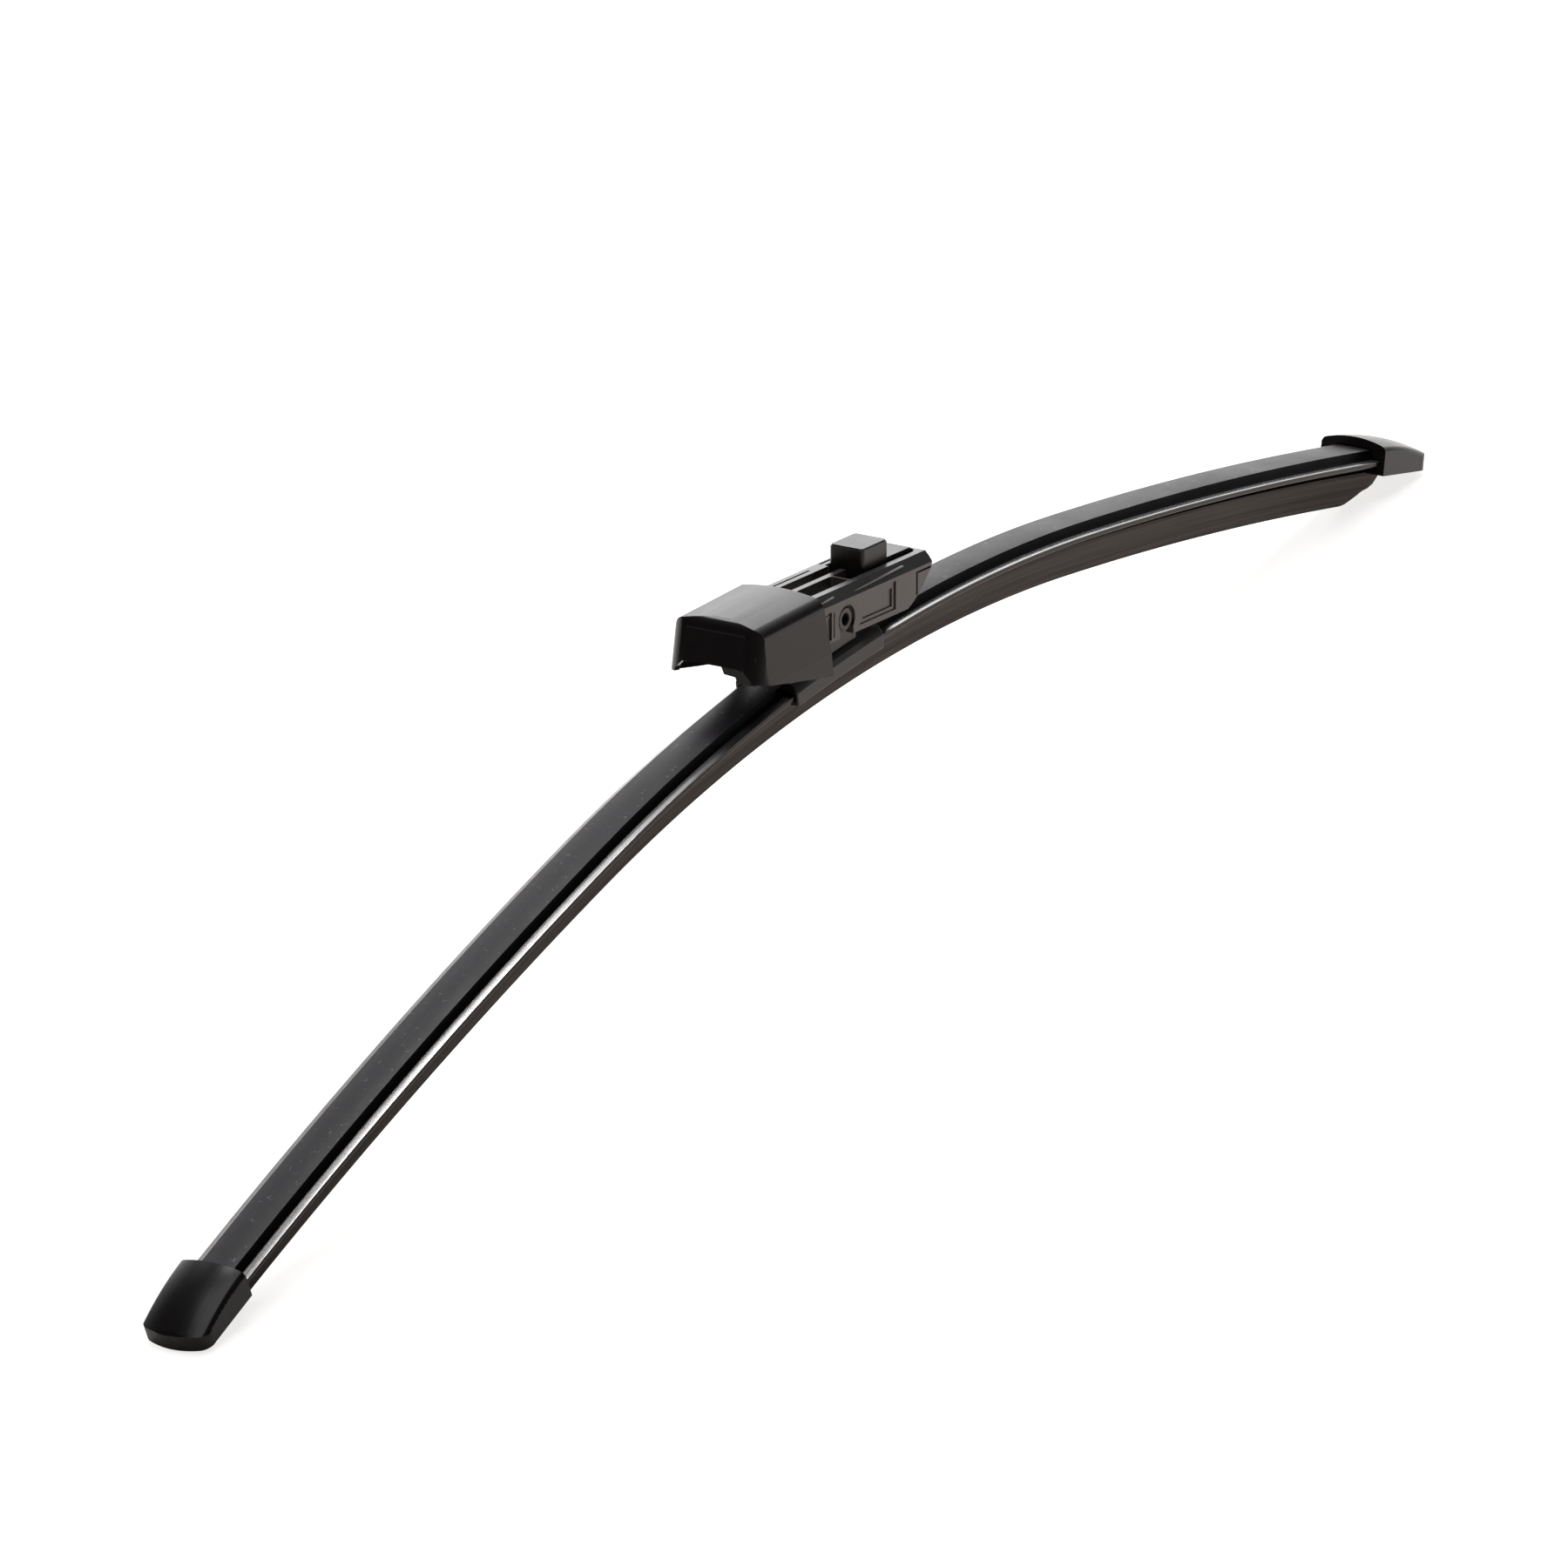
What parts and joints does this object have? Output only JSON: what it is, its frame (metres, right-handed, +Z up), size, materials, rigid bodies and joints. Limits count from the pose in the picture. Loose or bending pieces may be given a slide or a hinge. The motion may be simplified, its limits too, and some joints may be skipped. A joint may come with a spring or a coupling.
{
  "type": "wiper blade",
  "caption": "Flat beam windscreen wiper blade: arched rubber and spring rails with end caps, and a rocking adapter with a release button, half under a shroud.",
  "frame": {"origin": "on the surface it stands on, below the middle of the whole blade's box", "axes": "+X along the blade towards the end that the adapter's nose points to, +Y to the adapter's left side, +Z up, away from the surface the lip wipes"},
  "size_m": [0.4488, 0.0228, 0.0682],
  "materials": {
    "squeegee_rubber": "smooth black-brown rubber, matt",
    "spring_steel": "thinly coated spring steel, satin",
    "cover_black": "satin black, slightly dusty",
    "bracket_black": "black coated pressed metal",
    "rivet_dark": "dark turned metal",
    "connector_black": "satin black moulded plastic",
    "button_black": "satin black moulded plastic",
    "shroud_black": "satin black moulded plastic",
    "cap_black": "satin black moulded plastic"
  },
  "bodies": {
    "blade": {"squeegee": "squeegee_rubber", "rail_left": "spring_steel", "rail_right": "spring_steel", "cover_near": "cover_black", "cover_far": "cover_black", "base_bracket": "bracket_black", "pivot_pin": "rivet_dark", "end_cap_near": "cap_black", "end_cap_far": "cap_black"},
    "connector": {"adapter": "connector_black", "shroud": "shroud_black"},
    "button": {"release_button": "button_black"}
  },
  "joints": [
    {"name": "adapter_rock", "type": "hinge", "parent": "blade", "child": "connector", "pos_m": [0.01344, 0, 0.05569], "axis": [0, -1, 0], "range_deg": [-2, 12]},
    {"name": "button_press", "type": "hinge", "parent": "connector", "child": "button", "pos_m": [0.04304, 0, 0.05674], "axis": [0, -1, 0], "range_deg": [0, 6], "stiffness_Nm_per_rad": 0.4}
  ]
}
